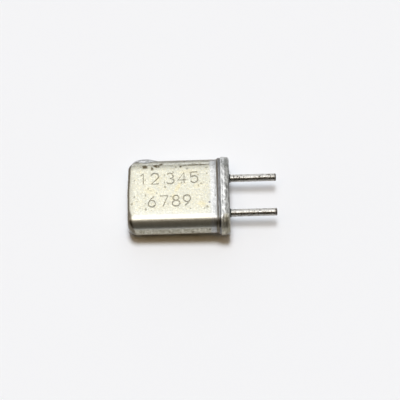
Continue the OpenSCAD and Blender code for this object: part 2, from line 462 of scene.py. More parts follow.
def make_can(material):
    """The drawn can: slightly dented, with its vent and its cut figures."""
    can = swept_oval("can_shell", cover_line())
    soften_corners(can)
    weigh(can, "dented", lambda place: 0.3 + 0.7 * ramp(place.y, -3.4, 0.8))
    roughen(can, 2.4, 0.02, 1.0, "dented", 1)
    modify(can, "SOLIDIFY", thickness=COVER_WALL * MM, offset=-1, use_even_offset=True)
    join_or_cut(can, vent_post("vent_tool", -PAST, PAST), "DIFFERENCE")
    join_or_cut(can, mark_tool(), "DIFFERENCE")
    finish_piece(can, material, "cover")
    return can


# ---------------------------------------------------------------- the solder
# The drop's line over the can's side: each point's place along the can, and its height.
DROP_LINE = [
    (0.3, -0.72), (0.5, -0.42), (0.75, -0.13), (1.05, 0.07), (1.4, 0.2), (1.9, 0.295),
    (2.5, 0.325), (3.05, 0.28), (3.55, 0.18), (4.0, 0.06), (4.35, -0.02), (4.8, -0.1),
]


def can_core():
    """The can's outer shape as one solid, closed across its mouth."""
    core = swept_oval("core_tool", cover_line(), round_steps=64, flat_steps=2)
    soften_corners(core)
    pick(core)
    edit()
    bpy.ops.mesh.select_mode(type="EDGE")
    bpy.ops.mesh.select_all(action="DESELECT")
    bpy.ops.mesh.select_non_manifold()
    bpy.ops.mesh.edge_face_add()
    bpy.ops.mesh.select_all(action="SELECT")
    bpy.ops.mesh.normals_make_consistent(inside=False)
    leave()
    return core


def make_vent_drop(material):
    """A drop of solder over the vent, cut to the can's round side, on a plug in its hole."""
    side_r = DROP_R - DROP_H
    rise = [(side_r + height, z) for z, height in curved(DROP_LINE)]
    low, high = rise[0][1], rise[-1][1]
    line = [(0, low), (0.4, low)] + rise + [(0.8, high), (0.4, high), (0, high)]
    drop = spun("vent_drop", line, HALF_GAP + DROP_SHIFT, steps=120)
    roughen(drop, 0.8, 0.05, 1.0)
    join_or_cut(drop, can_core(), "DIFFERENCE")
    join_or_cut(drop, vent_post("plug_tool", -COVER_WALL, DROP_H / 2), "UNION")
    finish_piece(drop, material, "vent_solder", 50)
    return drop


# The bead's outer line, as (radius, height above the skirt's lower end), from its foot on
# the skirt, over its crown, to its inner lip.
BEAD_LINE = [
    (2.07, 0.13), (2.13, 0.155), (2.18, 0.185), (2.215, 0.23), (2.238, 0.285), (2.248, 0.35),
    (2.25, 0.42), (2.25, 0.49), (2.246, 0.59), (2.24, 0.71), (2.225, 0.85), (2.195, 1.0),
    (2.15, 1.13), (2.09, 1.24), (2.01, 1.33), (1.92, 1.38), (1.83, 1.39), (1.75, 1.36),
    (1.67, 1.29), (1.62, 1.2),
]
# The bead's inner side lies BEAD_SINK inside the skirt's sheet, from BEAD_HEEL upwards.
BEAD_SINK = 0.04
BEAD_HEEL = 0.16


def bead_free(place):
    """How far a point of the bead is from the metal that the solder wets, from 0 to 1."""
    if place.z > COVER_LEN:
        return ramp(place.z, COVER_LEN + 0.02, 0.12)
    return ramp(math.hypot(place.x, max(abs(place.y) - HALF_GAP, 0)), SKIRT_R + 0.02, 0.1)


def bead_crown(place):
    """The lumps lie on the crown, and leave the shoulder beside the can smooth."""
    return bead_free(place) * ramp(place.z, SKIRT_Z + 0.25, 0.2)


def make_seam_bead(material):
    """The lumpy bead of solder around the can's mouth, and in the gap round the base."""
    cover_r = BASE_R + SOLDER_GAP
    inner_r = SKIRT_R - BEAD_SINK
    line = [(r, SKIRT_Z + height) for r, height in curved(BEAD_LINE, 3)]
    line += [(BASE_R, COVER_LEN), (BASE_R, RIM_Z), (cover_r, RIM_Z), (cover_r, COVER_LEN)]
    line += [(inner_r, COVER_LEN), (inner_r, SKIRT_Z + BEAD_HEEL)]
    bead = swept_oval("seam_bead", line, closed=True, round_steps=110, flat_steps=100)
    weigh(bead, "free", bead_free)
    weigh(bead, "crown", bead_crown)
    roughen(bead, 1.1, 0.05, 1.0, "free", 1)
    roughen(bead, 0.75, -0.06, 0.0, "crown", kind="VORONOI")
    roughen(bead, 0.35, 0.02, 1.0, "crown", 1)
    finish_piece(bead, material, "seam_solder", 60)
    return bead


# ---------------------------------------------------------------- the base, seals and pins
def make_base(material):
    """The pressed base: an oval dish with a collar around each glass seal."""
    line = [(BASE_R, RIM_Z), (BASE_R, COVER_LEN - BEND_R - 0.2)]
    line += arc((BASE_R - BEND_R, COVER_LEN - BEND_R), BEND_R, 0, 90, 10)
    line += [(0.9, COVER_LEN), (0.45, COVER_LEN), (0, COVER_LEN)]
    base = swept_oval("base_plate", line, flat_steps=32)
    modify(base, "SOLIDIFY", thickness=BASE_T * MM, offset=-1, use_even_offset=True)
    for y in (-PIN_Y, PIN_Y):
        collar = post("collar_tool", COLLAR_R, SEAL_Z, COVER_LEN - BASE_T / 2, y)
        join_or_cut(base, collar, "UNION")
        bore = post("bore_tool", GLASS_R, SEAL_Z - PAST, COVER_LEN + PAST, y)
        join_or_cut(base, bore, "DIFFERENCE")
    finish_piece(base, material, "base_shell")
    return base


def make_glass_seal(side, name, material):
    """A bead of glass that climbs the pin's root in a tapered neck."""
    fillet_r = GLASS_R - NECK_FOOT_R
    top = COVER_LEN + NECK_H
    line = [(WIRE_R, SEAL_Z), (GLASS_R, SEAL_Z)]
    line += run((GLASS_R, SEAL_Z), (GLASS_R, COVER_LEN), 3)
    line += arc((GLASS_R, COVER_LEN + fillet_r), fillet_r, -90, -180, 8)
    line += [(NECK_R + LIP_IN, top - LIP_H), (NECK_R - LIP_IN, top)]
    line += [(PIN_R, top), (PIN_R, ROOT_Z), (WIRE_R, ROOT_Z)]
    seal = spun(f"glass_bead_{name}", line, side * PIN_Y, closed=True)
    finish_piece(seal, material, f"glass_seal_{name}")
    return seal


def make_pin(side, name, material):
    """A round pin with a rounded tip, stepped down to the wire in its glass."""
    line = [(0, STUB_Z), (WIRE_R, STUB_Z), (WIRE_R, ROOT_Z), (PIN_R, ROOT_Z)]
    line += run((PIN_R, ROOT_Z), (PIN_R, PIN_TOP - TIP_R), 84)
    line += arc((PIN_R - TIP_R, PIN_TOP - TIP_R), TIP_R, 0, 90, 7)
    line += [(0.2, PIN_TOP), (0.08, PIN_TOP), (0, PIN_TOP)]
    pin = spun(f"round_pin_{name}", line, side * PIN_Y)

    # A cube takes the flat off the outer side of the wire's end.
    flat_y = PIN_Y + WIRE_R - FLAT_DEPTH
    deselect()
    bpy.ops.mesh.primitive_cube_add(
        size=2 * PAST * MM,
        location=Vector((0, side * (flat_y + PAST), STUB_Z + FLAT_LEN - PAST)) * MM,
    )
    join_or_cut(pin, added("flat_tool"), "DIFFERENCE")
    weigh(pin, "free", lambda place: ramp(place.z, ROOT_Z + 0.15, 0.2))
    roughen(pin, 0.22, -0.022, 0.0, "free", 2)
    finish_piece(pin, material, f"pin_{name}", 40)
    return pin


# ---------------------------------------------------------------- nodes
class Nodes:
    """Adds nodes to a tree. A value may be a number or another node's socket."""

    def __init__(self, tree):
        self.tree = tree

    def put(self, kind, sockets=None, **settings):
        """Adds a node, sets it, and fills or links its inputs."""
        node = self.tree.nodes.new(kind)
        for key, value in settings.items():
            setattr(node, key, value)
        for key, value in (sockets or {}).items():
            if isinstance(value, bpy.types.NodeSocket):
                self.tree.links.new(value, node.inputs[key])
            else:
                node.inputs[key].default_value = value
        return node

    def sums(self, operation, a, b=0.0, clamp=False):
        """One step of arithmetic on values."""
        node = self.put("ShaderNodeMath", {0: a, 1: b}, operation=operation, use_clamp=clamp)
        return node.outputs[0]

    def vector_sums(self, operation, a, b):
        """One step of arithmetic on vectors."""
        node = self.put("ShaderNodeVectorMath", {0: a, 1: b}, operation=operation)
        return node.outputs[0]

    def scaled(self, vector, scale):
        """A vector or a colour of light, made longer or stronger."""
        sockets = {0: vector, "Scale": scale}
        return self.put("ShaderNodeVectorMath", sockets, operation="SCALE").outputs[0]

    def parts(self, vector):
        """The x, y and z of a vector."""
        return self.put("ShaderNodeSeparateXYZ", {0: vector}).outputs

    def plus(self, a, b, clamp=False):
        """The sum of two values; clamped, it stays between 0 and 1."""
        return self.sums("ADD", a, b, clamp)

    def minus(self, a, b, clamp=False):
        """What is left of one value after another; clamped, it stays between 0 and 1."""
        return self.sums("SUBTRACT", a, b, clamp)

    def times(self, first, *others):
        """The product of some values."""
        for other in others:
            first = self.sums("MULTIPLY", first, other)
        return first

    def most(self, first, *others):
        """The largest of some values."""
        for other in others:
            first = self.sums("MAXIMUM", first, other)
        return first

    def ease(self, value, low, high, start=0.0, end=1.0):
        """A soft step from start to end while the value goes from low to high."""
        limits = {"From Min": low, "From Max": high, "To Min": start, "To Max": end}
        sockets = {"Value": value, **limits}
        node = self.put("ShaderNodeMapRange", sockets, interpolation_type="SMOOTHSTEP")
        return node.outputs[0]

    def fade(self, value, low, high):
        """A soft step down from 1 to 0 while the value goes from low to high."""
        return self.ease(value, low, high, 1.0, 0.0)

    def mix(self, share, a, b, kind="RGBA"):
        """One colour or value over another; a colour may be three numbers or a socket."""
        a, b = ((*c, 1) if isinstance(c, tuple) else c for c in (a, b))
        sockets = {"Factor": share, "A": a, "B": b}
        return self.put("ShaderNodeMix", sockets, data_type=kind).outputs["Result"]


# ---------------------------------------------------------------- shared effects
class Effect(Nodes):
    """A node group that several finishes use, each with values of its own."""

    def __init__(self, name, **inputs):
        super().__init__(bpy.data.node_groups.new(name, "ShaderNodeTree"))
        for label, value in inputs.items():
            kind = "NodeSocketVector" if isinstance(value, tuple) else "NodeSocketFloat"
            self.socket(label, "INPUT", kind).default_value = value
        self.given = self.put("NodeGroupInput").outputs

    def socket(self, label, side, kind):
        """Adds one of the group's own sockets."""
        return self.tree.interface.new_socket(label.title(), in_out=side, socket_type=kind)

    def give(self, **results):
        """Gives the group its outputs, and hands over its tree."""
        for label in results:
            self.socket(label, "OUTPUT", "NodeSocketFloat")
        self.put("NodeGroupOutput", {label.title(): value for label, value in results.items()})
        return self.tree


def grain_effect():
    """Cloudy variation of one size; the stretch gives it a direction."""
    grain = Effect("metal_grain", place=(0, 0, 0), size=1, stretch=(1, 1, 1))
    place = grain.vector_sums("MULTIPLY", grain.given["Place"], grain.given["Stretch"])
    scale = grain.sums("DIVIDE", 1.0, grain.given["Size"])
    sockets = {"Vector": place, "Scale": scale, "Detail": 3, "Roughness": 0.6}
    clouds = grain.put("ShaderNodeTexNoise", sockets).outputs[0]
    return grain.give(tone=grain.ease(clouds, 0.32, 0.68), height=clouds)


def pits_effect():
    """Small round pits or specks, ragged at the edge, in a share of the cells."""
    pits = Effect("pits", place=(0, 0, 0), size=1, share=0.3)
    scale = pits.sums("DIVIDE", 1.0, pits.given["Size"])
    ragged = pits.put("ShaderNodeTexNoise", {"Vector": pits.given["Place"], "Scale": scale})
    pushed = pits.scaled(ragged.outputs["Color"], 0.5)
    place = pits.vector_sums("ADD", pits.scaled(pits.given["Place"], scale), pushed)
    cells = pits.put("ShaderNodeTexVoronoi", {"Vector": place, "Scale": 1.0}).outputs
    sockets = {
        "Value": pits.parts(cells["Color"])[0],
        "From Min": pits.minus(1.0, pits.given["Share"]),
        "From Max": 1.0,
        "To Min": 0.0,
        "To Max": 0.55,
    }
    reach = pits.put("ShaderNodeMapRange", sockets).outputs[0]
    mask = pits.ease(pits.minus(reach, cells["Distance"]), 0.0, 0.12)
    return pits.give(mask=mask, height=pits.minus(1.0, mask))


def blot_effect():
    """One frayed oval stain, turned about the can's thickness."""
    blot = Effect("blot", place=(0, 0, 0), middle=(0, 0, 0), reach=(1, 1, 1), turn=0, fray=0.8)
    given = blot.given
    offset = blot.vector_sums("SUBTRACT", given["Place"], given["Middle"])
    sockets = {"Vector": offset, "Angle": given["Turn"]}
    turned = blot.put("ShaderNodeVectorRotate", sockets, rotation_type="Z_AXIS").outputs[0]
    shrunk = blot.vector_sums("DIVIDE", turned, given["Reach"])
    length = blot.put("ShaderNodeVectorMath", {0: shrunk}, operation="LENGTH").outputs["Value"]
    sockets = {"Vector": given["Place"], "Scale": 2.2, "Detail": 4, "Roughness": 0.65}
    clouds = blot.put("ShaderNodeTexNoise", sockets).outputs[0]
    uneven = blot.times(blot.minus(clouds, 0.5), given["Fray"])
    return blot.give(mask=blot.fade(blot.plus(length, uneven), 0.35, 1.0))


GRAIN, PITS, BLOT = grain_effect(), pits_effect(), blot_effect()


class Finish(Nodes):
    """A material whose patterns are laid out in the can's own frame, in millimetres: x runs
    along the can from its closed end, y across it, and z up through its thickness."""

    def __init__(self, name, metallic=0.0):
        self.material = bpy.data.materials.new(name)
        self.material.use_nodes = True
        super().__init__(self.material.node_tree)
        self.shader = self.tree.nodes["Principled BSDF"]
        self.shader.inputs["Metallic"].default_value = metallic
        sockets = {
            "Vector": self.put("ShaderNodeTexCoord").outputs["Object"],
            "Location": LAY.to_translation(),
            "Rotation": (0, -TILT, 0),
            "Scale": (MM, MM, MM),
        }
        self.place = self.put("ShaderNodeMapping", sockets, vector_type="TEXTURE").outputs[0]
        self.colour = None

    def effect(self, which, **sockets):
        """Puts a shared effect in the material, with the material's own values."""
        sockets = {label.title(): value for label, value in sockets.items()}
        sockets["Place"] = self.place
        return self.put("ShaderNodeGroup", sockets, node_tree=which).outputs

    def grain(self, size, stretch=(1, 1, 1)):
        """The grain's Tone and Height."""
        return self.effect(GRAIN, size=size, stretch=stretch)

    def pits(self, size, share):
        """The pits' Mask and Height."""
        return self.effect(PITS, size=size, share=share)

    def blot(self, middle, reach, turn=0.0, fray=0.8):
        """The mask of one blot."""
        return self.effect(BLOT, middle=middle, reach=reach, turn=turn, fray=fray)["Mask"]

    def facing(self):
        """The x, y and z of the way that the surface faces."""
        return self.parts(self.put("ShaderNodeNewGeometry").outputs["Normal"])

    def paint(self, colour, *shares):
        """Lays a colour over what is there, by the product of some shares."""
        self.colour = self.mix(self.times(*shares), self.colour, colour)

    def dress(self, rough, height, relief):
        """Links the colour, roughness and relief; the relief is in millimetres."""
        bump = self.put("ShaderNodeBump", {"Height": height, "Distance": relief * MM})
        self.tree.links.new(self.colour, self.shader.inputs["Base Color"])
        self.tree.links.new(rough, self.shader.inputs["Roughness"])
        self.tree.links.new(bump.outputs[0], self.shader.inputs["Normal"])
        return self.material


# ---------------------------------------------------------------- the can's metal
TIN = ((0.77, 0.775, 0.77), (0.51, 0.515, 0.51))
TIN_START = STEP_Z - 0.45

# Old flux stains on the broad face: each one's middle, reach, turn and strength.
STAINS = [
    ((6.75, 0.75, 1.9), (0.35, 1.0, 1), 0.55, 0.45),
    ((6.1, -0.6, 1.9), (0.35, 0.9, 1), 0.5, 0.3),
    ((9.9, -1.65, 1.9), (0.75, 0.6, 1), 0.3, 0.35),
    ((3.1, 0.3, 1.9), (1.1, 0.7, 1), 0.2, 0.25),
    ((9.3, 0.9, 1.9), (0.6, 0.5, 1), 0.0, 0.2),
    ((4.2, 1.9, 1.9), (0.6, 0.7, 1), 0.4, 0.2),
    ((8.1, 2.9, 1.9), (1.6, 0.4, 1), 0.0, 0.2),
]
# Grime caught along the far shoulder: each blot's middle, reach and turn.
GRIME = [
    ((2.35, 3.72, 1.82), (0.75, 0.36, 1), 0.0),
    ((3.3, 3.45, 1.87), (0.42, 0.34, 1), 0.6),
    ((3.95, 3.8, 1.8), (0.65, 0.3, 1), 0.4),
    ((4.5, 4.06, 1.7), (0.6, 0.2, 1), -0.3),
    ((7.16, 3.65, 1.83), (0.22, 0.22, 1), 0.0),
    ((9.2, 3.86, 1.77), (2.6, 0.14, 1), 0.0),
]


class NickelSilver(Finish):
    """Drawn nickel silver: warm, faintly mottled, tinned beside the seam."""

    def __init__(self):
        super().__init__("nickel_silver", metallic=1.0)
        self.x, self.y, self.z = self.parts(self.place)
        self.facing_x, self.facing_y, _ = self.facing()
        self.mottle = self.grain(0.32)
        self.fine = self.grain(0.13)
        self.blotch = self.grain(0.55)
        self.specks = self.pits(0.37, 0.22)
        # The near side has been rubbed even, down to a low strip that is scurfy and carries
        # painted shade: it is browner and darker, for the dim floor that it mirrors.
        self.rubbed = self.fade(self.y, -3.2, -2.95)
        self.calm = self.ease(self.rubbed, 0.0, 1.0, 1.0, 0.3)
        self.low = self.times(self.fade(self.z, 0.9, 1.2), self.fade(self.y, -3.5, -3.0))
        self.gritty = self.times(self.mottle["Tone"], self.low, 0.65)
        self.far = self.ease(self.y, HALF_GAP + 0.3, HALF_GAP + 0.6)

    def face(self):
        """The drawn metal itself, its grain kept where it hasn't been rubbed."""
        self.colour = self.mix(self.grain(1.7)["Tone"], (0.75, 0.735, 0.62), (0.69, 0.695, 0.61))
        strip = self.times(self.fade(self.z, 0.7, 1.1), self.rubbed)
        kept = self.ease(self.minus(self.rubbed, strip), 0.0, 1.0, 1.0, 0.12)
        # Painted highlight: the metal is made paler and less yellow towards the near shoulder,
        # where its bright strip of reflection lies, and keeps less grain there.
        paler = self.ease(self.y, -3.1, -2.0, 0.6, 0.0)
        self.kept = self.times(kept, self.minus(1.0, self.times(paler, 0.6)))
        self.paint((0.76, 0.765, 0.72), paler)
        self.paint((0.74, 0.735, 0.66), self.rubbed)
        self.paint((0.54, 0.535, 0.45), self.mottle["Tone"], 0.45, self.kept)
        self.paint((0.47, 0.46, 0.4), self.fine["Tone"], 0.7, self.kept)
        tints = self.grain(0.22, (1.0, 1.0, 1.3))
        self.paint((0.72, 0.62, 0.36), self.ease(tints["Tone"], 0.55, 0.9), self.kept, 0.3)
        # Painted shade: darker towards the closed end, for the darker reflection on its rounded
        # edge.
        self.paint((0.4, 0.385, 0.32), self.ease(self.x, 0.5, 1.05, 0.5, 0.0))
        even = self.times(self.minus(self.mottle["Height"], 0.5), self.kept)
        self.rough = self.ease(even, -0.2, 0.2, 0.24, 0.36)

    def round_sides(self):
        """The round sides are duller and more blotched than the faces, in bands along; along the
        far side runs a painted highlight.
        """
        side = self.ease(self.sums("ABSOLUTE", self.y), HALF_GAP + 0.1, HALF_GAP + 0.7)
        blotched = self.ease(self.blotch["Tone"], 0.35, 0.75)
        self.paint((0.3, 0.29, 0.25), side, 0.18)
        self.paint((0.36, 0.36, 0.32), blotched, side, self.calm, 0.4)
        bands = self.grain(0.3, (0.25, 1.0, 1.0))
        self.paint((0.3, 0.29, 0.24), self.ease(bands["Tone"], 0.3, 0.9), self.far, 0.6)
        # Painted highlight: a broken pale line along the far round side, for a bright band of
        # reflection there.
        line = self.times(self.ease(self.y, 3.95, 4.05), self.fade(self.y, 4.2, 4.35))
        self.paint((0.85, 0.84, 0.76), line, self.ease(self.blotch["Height"], 0.4, 0.6), 0.8)

    def low_side(self):
        """The low strip of the near side is scurfy, and painted browner and darker for the dim
        floor that it mirrors; the underside is painted dark as a contact shadow.
        """
        # Painted reflection: the low strip is browned and darkened, for the dim floor that it
        # mirrors.
        self.paint((0.21, 0.165, 0.07), self.low, 0.28)
        # Painted shadow: the underside is darkened, as the contact shadow under the can.
        self.paint((0.09, 0.075, 0.05), self.ease(self.z, -1.2, -0.7, 0.8, 0.0))
        self.paint((0.2, 0.18, 0.12), self.gritty)
        self.paint((0.13, 0.11, 0.07), self.pits(0.38, 0.9)["Mask"], self.low, 0.8)

    def stains(self):
        """Old flux has left yellow stains here and there on the broad face."""
        for middle, reach, turn, strength in STAINS:
            self.paint((0.7, 0.6, 0.33), self.blot(middle, reach, turn), strength)

    def tinned_end(self):
        """The seam's solder has run a little way up the can, and the flare carries painted shade:
        near black in its crease beside the bead.
        """
        streaks = self.grain(0.45, (4.0, 0.6, 0.6))
        tin = self.mix(self.times(streaks["Tone"], 0.6), *TIN)
        tin = self.mix(self.times(self.mottle["Tone"], 0.4), tin, (0.43, 0.44, 0.445))
        # Painted reflection: the tin on the low strip is darkened too.
        tin = self.mix(self.times(self.low, 0.35), tin, (0.3, 0.3, 0.29))
        tin = self.mix(self.gritty, tin, (0.2, 0.2, 0.19))
        edge = self.plus(self.x, self.times(streaks["Height"], 0.9))
        self.paint(tin, self.ease(edge, TIN_START, STEP_Z))
        # Painted shade: the flare's crease beside the bead is painted near black, its edge uneven
        # and scored with lighter rings.
        uneven = self.times(self.minus(streaks["Height"], 0.5), 0.5)
        flare_shade = self.ease(self.plus(self.x, uneven), TIN_START, SKIRT_Z + 0.05)
        rings = self.grain(0.5, (3.2, 0.25, 0.25))
        scored = self.times(self.ease(rings["Height"], 0.4, 0.62), 0.22)
        self.paint((0.1, 0.1, 0.105), flare_shade, self.minus(0.96, scored))

    def specks_and_grime(self):
        """Dark specks everywhere, grime caught along the far shoulder, and one dark nick."""
        self.speck = self.times(self.specks["Mask"], 0.5, self.calm)
        self.paint((0.26, 0.24, 0.18), self.speck)
        grit = self.ease(self.grain(0.4)["Tone"], 0.16, 0.42)
        self.grime = self.times(self.most(*(self.blot(*blot) for blot in GRIME)), grit)
        self.paint((0.13, 0.1, 0.05), self.grime, 0.9)
        self.paint((0.19, 0.19, 0.22), self.blot((10.9, -1.46, 1.9), (0.2, 0.16, 1), fray=0.3))

    def painted_edge_shade(self):
        """Painted shade: the closed end's edge and the far side's outer line are painted dark, and
        most of all the near corner, for the dark reflections there."""
        behind = self.times(self.facing_x, -1.0)
        end_edge_shade = self.ease(self.plus(behind, self.ease(self.y, 0.5, 2.5, 0.0, 0.1)), 0.42, 0.62)
        line = self.times(
            self.ease(self.facing_y, 0.6, 0.74),
            self.ease(self.z, 0.4, 0.8),
            self.ease(self.blotch["Height"], 0.2, 0.5, 0.45, 0.7),
        )
        corner = self.times(self.ease(behind, 0.0, 0.28), self.fade(self.facing_y, -0.5, -0.25))
        off_end = self.minus(0.93, self.ease(behind, 0.93, 0.99), clamp=True)
        inset = self.minus(self.x, self.ease(self.y, -3.7, -0.8, 0.68, 0.15))
        curved_in = self.times(
            self.ease(inset, -0.2, 0.08, 0.95, 0.0),
            self.fade(self.y, -3.0, -1.0),
            self.ease(self.z, 0.5, 1.0),
        )
        edge_shade = self.times(self.most(end_edge_shade, line, corner), off_end)
        # Painted shade along these edges, for the dark reflections there.
        self.paint((0.13, 0.11, 0.08), self.most(edge_shade, curved_in))

    def cut_figures(self):
        """The cut figures have gone dark, and they are rougher, as grime and specks are."""
        cut = self.times(
            self.fade(self.z, CAN_R - 0.045, CAN_R - 0.028),
            self.sums("LESS_THAN", self.sums("ABSOLUTE", self.y), HALF_GAP),
            self.sums("GREATER_THAN", self.z, CAN_R - 0.15),
            self.sums("GREATER_THAN", self.x, 1.0),
        )
        self.paint((0.3, 0.26, 0.2), cut, 0.4)
        worn = self.most(cut, self.grime, self.speck)
        self.rough = self.plus(self.rough, self.times(worn, 0.3), clamp=True)

    def height(self):
        """Mottled all over, with ridges on the far side and a hollow at each speck."""
        mottled = self.plus(self.mottle["Height"], self.times(self.fine["Height"], 0.4))
        ridged = self.plus(mottled, self.times(self.blotch["Height"], self.far, 1.5))
        pitted = self.minus(ridged, self.times(self.specks["Mask"], 0.4))
        return self.times(pitted, self.kept)


def nickel_silver():
    """The can's metal, from what is oldest to what lies on top."""
    metal = NickelSilver()
    metal.face()
    metal.round_sides()
    metal.low_side()
    metal.stains()
    metal.tinned_end()
    metal.specks_and_grime()
    metal.painted_edge_shade()
    metal.cut_figures()
    return metal.dress(metal.rough, metal.height(), 0.018)


# ---------------------------------------------------------------- the other finishes
def solder_skin():
    """Old solder: grey and bright by turns, dimpled, with dull and olive places."""
    solder = Finish("solder_skin", metallic=1.0)
    x, y, _ = solder.parts(solder.place)
    fine = solder.grain(0.2, (1.4, 0.6, 0.8))
    mottle = solder.grain(0.5, (1.4, 0.6, 0.8))
    solder.colour = solder.mix(solder.times(mottle["Tone"], 0.8), *TIN)
    dimples = solder.pits(0.4, 0.6)
    dark = solder.times(dimples["Mask"], solder.ease(x, SKIRT_Z + 0.3, SKIRT_Z + 0.55), 0.45)
    solder.paint((0.24, 0.24, 0.23), dark)
    solder.paint((0.27, 0.27, 0.255), solder.ease(x, COVER_LEN - 0.55, COVER_LEN - 0.15), 0.88)

    # The far end is crazed and grey, the near end olive and burnt in rings.
    far = solder.ease(y, HALF_GAP - 0.8, HALF_GAP + 0.6)
    solder.paint((0.25, 0.26, 0.24), solder.ease(fine["Tone"], 0.2, 0.8), far, 0.7)
    olive = solder.blot((12.9, -4.6, 1.0), (1.2, 2.4, 2.5), fray=1.2)
    rings = solder.grain(0.6, (3.0, 0.5, 0.5))
    burnt = solder.mix(rings["Tone"], (0.52, 0.49, 0.38), (0.26, 0.235, 0.165))
    solder.paint(burnt, olive, 0.85)

    # The drop over the vent has a painted highlight in its middle, and painted shade along its
    # outer edge and foot.
    drop_edge_shade = solder.most(solder.ease(y, 4.86, 5.02), solder.fade(y, 4.38, 4.52))
    solder.paint((0.16, 0.16, 0.17), drop_edge_shade, solder.fade(x, 5.0, 6.0), 0.75)
    solder.paint((0.82, 0.82, 0.82), solder.blot((2.0, 4.72, 1.33), (0.6, 0.14, 0.3), fray=0.7))
    rough = solder.ease(fine["Height"], 0.3, 0.7, 0.14, 0.3)
    rough = solder.plus(rough, solder.times(dark, 0.5), clamp=True)
    rough = solder.plus(rough, solder.times(olive, 0.3), clamp=True)
    height = solder.plus(dimples["Height"], solder.times(fine["Height"], 0.6))
    return solder.dress(rough, height, 0.01)


def base_plating():
    """Tinned steel, brushed across, with a little grey oxide."""
    plate = Finish("base_plating", metallic=1.0)
    brushed = plate.grain(0.4, (4.0, 0.4, 4.0))
    plate.colour = plate.mix(plate.grain(0.9)["Tone"], (0.77, 0.77, 0.76), (0.62, 0.62, 0.6))
    plate.paint((0.5, 0.5, 0.48), brushed["Tone"], 0.4)
    rough = plate.ease(brushed["Height"], 0.3, 0.7, 0.24, 0.42)
    return plate.dress(rough, brushed["Height"], 0.008)


def sealing_glass():
    """Near-black sealing glass with a few bubbles under its skin."""
    glass = Finish("sealing_glass")
    glass.shader.inputs["Coat Roughness"].default_value = 0.05
    glass.shader.inputs["IOR"].default_value = 1.52
    cloud = glass.grain(0.3)
    bubbles = glass.pits(0.16, 0.35)
    glass.colour = glass.mix(cloud["Tone"], (0.012, 0.016, 0.014), (0.03, 0.036, 0.03))
    glass.paint((0.09, 0.1, 0.09), bubbles["Mask"], 0.5)
    return glass.dress(glass.ease(cloud["Height"], 0.3, 0.7, 0.06, 0.16), bubbles["Height"], 0.004)


def pin_wire():
    """Plated wire that has been in sockets: bright streaks between dark pits, and a dark tip. Its
    near-facing side is painted darker, as painted shade."""
    wire = Finish("pin_wire", metallic=1.0)
    x = wire.parts(wire.place)[0]
    drawn = wire.grain(0.5, (0.5, 4.0, 4.0))
    mottle = wire.grain(0.28)
    pits = wire.pits(0.26, 0.7)
    wire.colour = wire.mix(mottle["Tone"], (0.72, 0.71, 0.67), (0.48, 0.46, 0.42))
    wire.paint((0.8, 0.79, 0.77), drawn["Tone"], 0.3)
    wire.paint((0.145, 0.12, 0.095), pits["Mask"], 0.7)
    # Painted shade: darker where the pin faces the near side.
    wire.paint((0.2, 0.185, 0.16), wire.ease(wire.facing()[1], -0.55, -0.2, 0.6, 0.0))
    wire.paint((0.13, 0.115, 0.1), wire.ease(x, PIN_TOP - 0.38, PIN_TOP - 0.12), 0.85)
    rough = wire.ease(mottle["Height"], 0.3, 0.7, 0.2, 0.36)
    rough = wire.plus(rough, wire.times(pits["Mask"], 0.3), clamp=True)
    return wire.dress(rough, wire.plus(pits["Height"], mottle["Height"]), 0.02)


def spring_strip():
    """Nickel ribbon, rolled lengthways, yellowed a little by tarnish."""
    strip = Finish("spring_strip", metallic=1.0)
    rolled = strip.grain(0.3, (0.3, 4.0, 4.0))
    strip.colour = strip.mix(rolled["Tone"], (0.78, 0.69, 0.5), (0.66, 0.57, 0.4))
    strip.paint((0.5, 0.4, 0.26), strip.grain(0.8)["Tone"], 0.4)
    return strip.dress(strip.ease(rolled["Height"], 0.3, 0.7, 0.24, 0.42), rolled["Height"], 0.006)


def silver_cement():
    """Matt grey cement, filled with silver flakes."""
    cement = Finish("silver_cement")
    lumps = cement.grain(0.25)
    flakes = cement.pits(0.08, 0.5)["Mask"]
    cement.colour = cement.mix(lumps["Tone"], (0.5, 0.5, 0.49), (0.4, 0.4, 0.39))
    cement.paint((0.78, 0.78, 0.77), flakes)
    cement.tree.links.new(flakes, cement.shader.inputs["Metallic"])
    return cement.dress(cement.ease(lumps["Height"], 0.3, 0.7, 0.45, 0.65), lumps["Height"], 0.03)


def lapped_quartz():
    """Clear quartz with a finely lapped, faintly milky skin."""
    quartz = Finish("lapped_quartz")
    quartz.shader.inputs["Transmission Weight"].default_value = 0.85
    quartz.shader.inputs["IOR"].default_value = 1.54
    lapped = quartz.grain(0.06)["Height"]
    quartz.colour = quartz.mix(quartz.grain(1.4)["Tone"], (0.93, 0.95, 0.95), (0.86, 0.89, 0.9))
    return quartz.dress(quartz.ease(lapped, 0.3, 0.7, 0.1, 0.25), lapped, 0.002)


def silver_film():
    """Evaporated silver, satin over the lapped crystal, yellowing a little."""
    film = Finish("silver_film", metallic=1.0)
    lapped = film.grain(0.06)["Height"]
    film.colour = film.mix(film.grain(1.1)["Tone"], (0.9, 0.89, 0.86), (0.82, 0.78, 0.68))
    return film.dress(film.ease(lapped, 0.3, 0.7, 0.2, 0.34), lapped, 0.002)


# ---------------------------------------------------------------- the pieces
solder = solder_skin()
thick = [
    make_can(nickel_silver()),
    make_vent_drop(solder),
    make_seam_bead(solder),
    make_base(base_plating()),
]
glass, wire = sealing_glass(), pin_wire()
for side, name in ((-1, "front"), (1, "rear")):
    make_glass_seal(side, name, glass)
    make_pin(side, name, wire)

# What the can hides keeps its own shape, in finishes of its own.
INSIDE = (
    (spring_strip(), ("spring_front", "spring_rear")),
    (silver_cement(), ("cement_front", "cement_rear")),
    (lapped_quartz(), ("quartz_blank",)),
    (silver_film(), ("electrode_top", "electrode_bottom")),
)
for finish, nodes in INSIDE:
    for node in nodes:
        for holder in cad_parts[node].material_slots:
            holder.material = finish


